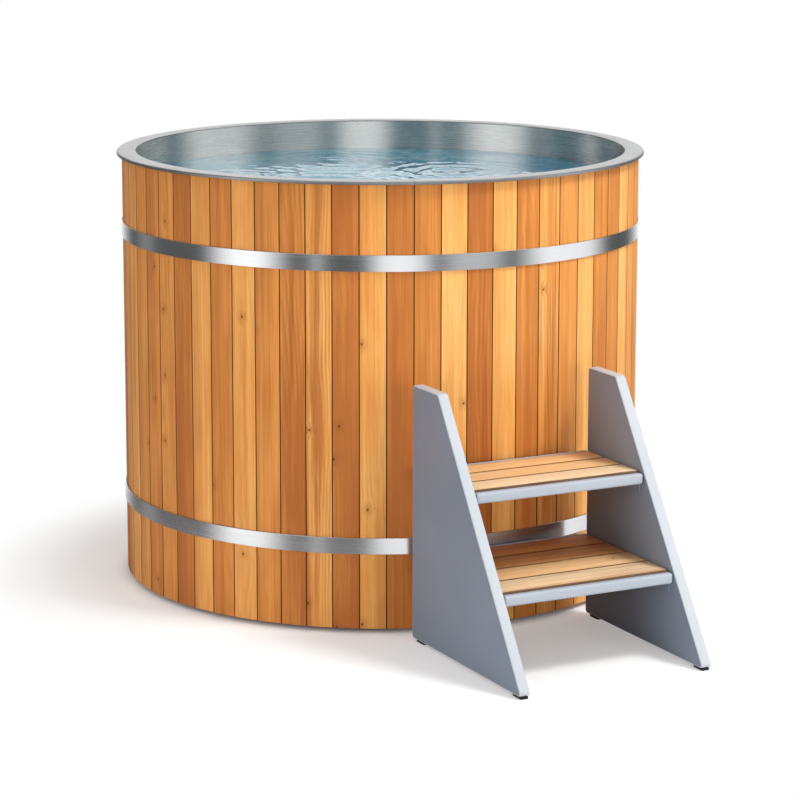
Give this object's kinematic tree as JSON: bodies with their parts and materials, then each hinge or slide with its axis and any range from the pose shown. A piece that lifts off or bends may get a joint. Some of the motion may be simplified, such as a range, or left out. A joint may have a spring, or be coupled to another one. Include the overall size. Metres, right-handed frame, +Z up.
{
  "type": "cold plunge tub",
  "caption": "Round cold plunge tub: steel liner and rim in a hooped jacket of wooden staves, with a loose two-tread step unit and a rear drain valve.",
  "frame": {"origin": "on the tub's vertical axis at floor level, on the underside of the middle bearer's rubber strip", "axes": "+Z up, -Y from the tub towards the steps, +X to the right of someone who faces the steps"},
  "size_m": [1.23, 1.8407, 1],
  "materials": {
    "stave_wood": "oiled, honey to russet boards",
    "tread_wood": "oiled",
    "base_wood": "raw",
    "painted_wood": "satin grey paint",
    "painted_frame": "satin grey powder coat",
    "steel": "brushed",
    "brass": "satin",
    "rubber": "matt",
    "foam": "matt foam"
  },
  "bodies": {
    "tub": {"stave_panel_01": "stave_wood", "stave_panel_02": "stave_wood", "stave_panel_03": "stave_wood", "stave_panel_04": "stave_wood", "stave_panel_05": "stave_wood", "stave_panel_06": "stave_wood", "stave_panel_07": "stave_wood", "stave_panel_08": "stave_wood", "stave_panel_09": "stave_wood", "stave_panel_10": "stave_wood", "stave_panel_11": "stave_wood", "stave_panel_12": "stave_wood", "stave_panel_13": "stave_wood", "stave_panel_14": "stave_wood", "stave_panel_15": "stave_wood", "stave_panel_16": "stave_wood", "hoop_upper": "steel", "hoop_lower": "steel", "hoop_bolt_upper": "steel", "hoop_bolt_lower": "steel", "hoop_nut_upper": "steel", "hoop_nut_lower": "steel", "rim_left": "steel", "rim_right": "steel", "liner_wall": "steel", "liner_floor": "steel", "drain_flange": "steel", "drain_strainer": "steel", "drain_locknut": "steel", "drain_pipe": "steel", "drain_gasket": "rubber", "insulation_jacket": "foam", "floor_insulation": "foam", "base_board": "base_wood", "bearer_front": "base_wood", "bearer_middle": "base_wood", "bearer_rear": "base_wood", "bearer_pad_front": "rubber", "bearer_pad_middle": "rubber", "bearer_pad_rear": "rubber", "valve_body": "brass", "hose_nipple": "brass"},
    "valve_handle": {"valve_ball": "steel", "valve_lever": "steel", "lever_nut": "steel"},
    "steps": {"step_side_left": "painted_wood", "step_side_right": "painted_wood", "step_foot_back_left": "rubber", "step_foot_front_left": "rubber", "step_foot_back_right": "rubber", "step_foot_front_right": "rubber", "upper_tread_frame": "painted_frame", "lower_tread_frame": "painted_frame", "upper_tread_board_1": "tread_wood", "upper_tread_board_2": "tread_wood", "upper_tread_board_3": "tread_wood", "lower_tread_board_1": "tread_wood", "lower_tread_board_2": "tread_wood", "lower_tread_board_3": "tread_wood", "lower_tread_board_4": "tread_wood"}
  },
  "joints": [
    {"name": "drain_valve_turn", "type": "hinge", "parent": "tub", "child": "valve_handle", "pos_m": [0, 0.655, 0.042], "axis": [0, 0, 1], "range_deg": [0, 90]},
    {"name": "steps_slide", "type": "slide", "parent": "tub", "child": "steps", "axis": [0, -1, 0], "range_m": [0, 0.6]}
  ]
}
